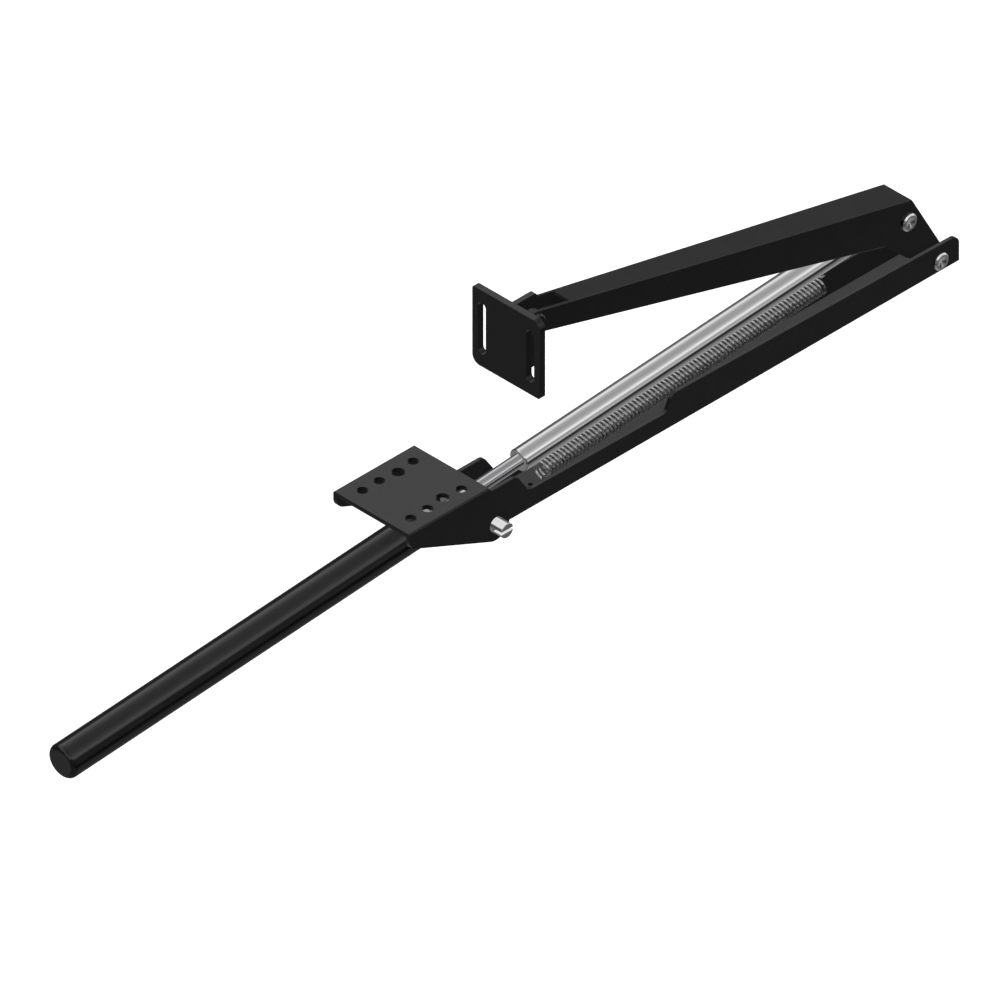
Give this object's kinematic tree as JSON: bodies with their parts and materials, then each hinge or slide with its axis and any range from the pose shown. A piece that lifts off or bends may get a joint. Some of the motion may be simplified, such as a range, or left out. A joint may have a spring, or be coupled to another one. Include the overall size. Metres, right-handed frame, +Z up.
{
  "type": "greenhouse vent opener",
  "caption": "Wax-cylinder vent opener: folded base channel on a sill bracket, chromed push tube with return spring, tapered lift arm and slotted vent plate.",
  "frame": {"origin": "top face of the sill bracket, at the centre of its pattern of screw holes", "axes": "+X along the channel from the closed end of the cylinder to the arm pivot, +Z up out of the sill bracket's top face, Y across, with Y = 0 the mid-plane"},
  "size_m": [0.4973, 0.056, 0.1058],
  "materials": {
    "black_steel": "satin black powder coat",
    "black_cylinder": "smooth satin black",
    "plated_steel": "bright zinc plate",
    "chrome_rod": "polished",
    "chrome_tube": "polished",
    "spring_steel": "plated wire",
    "bronze_bush": "plain",
    "piston_metal": "machined",
    "seal_rubber": "matt",
    "wax": "waxy"
  },
  "bodies": {
    "bracket": {"sill_bracket": "black_steel"},
    "channel": {"base_channel": "black_steel", "cylinder_yoke": "black_steel", "trunnion_pins": "plated_steel", "pivot_spacers": "plated_steel", "cylinder_tube": "black_cylinder", "cylinder_nose": "plated_steel", "guide_bush": "bronze_bush", "lock_nut": "plated_steel", "wax_charge": "wax", "arm_pivot_rivet": "plated_steel", "return_spring": "spring_steel"},
    "push_rod": {"piston_head": "piston_metal", "piston_seal": "seal_rubber", "piston_rod": "chrome_rod", "push_tube": "chrome_tube", "push_eye": "plated_steel"},
    "arm": {"lift_arm": "black_steel", "push_pivot_studs": "plated_steel", "vent_hinge_rivet": "black_steel", "hinge_spacers": "black_steel"},
    "vent_mount": {"vent_plate": "black_steel", "vent_tongue": "black_steel"}
  },
  "joints": [
    {"name": "trunnion_hinge", "type": "hinge", "parent": "bracket", "child": "channel", "pos_m": [0.0259, 0, -0.0191], "axis": [0, -1, 0], "range_deg": [-12, 40]},
    {"name": "arm_hinge", "type": "hinge", "parent": "channel", "child": "arm", "pos_m": [0.2897, 0, -0.0273], "axis": [0, 1, 0], "range_deg": [-8, 65]},
    {"name": "push_slide", "type": "slide", "parent": "channel", "child": "push_rod", "axis": [0.9973, 0, 0.0729], "range_m": [-0.0043, 0.034], "deforming": ["return_spring"]},
    {"name": "vent_hinge", "type": "hinge", "parent": "arm", "child": "vent_mount", "pos_m": [0.0649, 0, 0.0518], "axis": [0, 1, 0], "range_deg": [-60, 60]}
  ],
  "couplings": [
    {"joint": "push_slide", "follows": "arm_hinge", "m_per_rad": 0.02987}
  ]
}
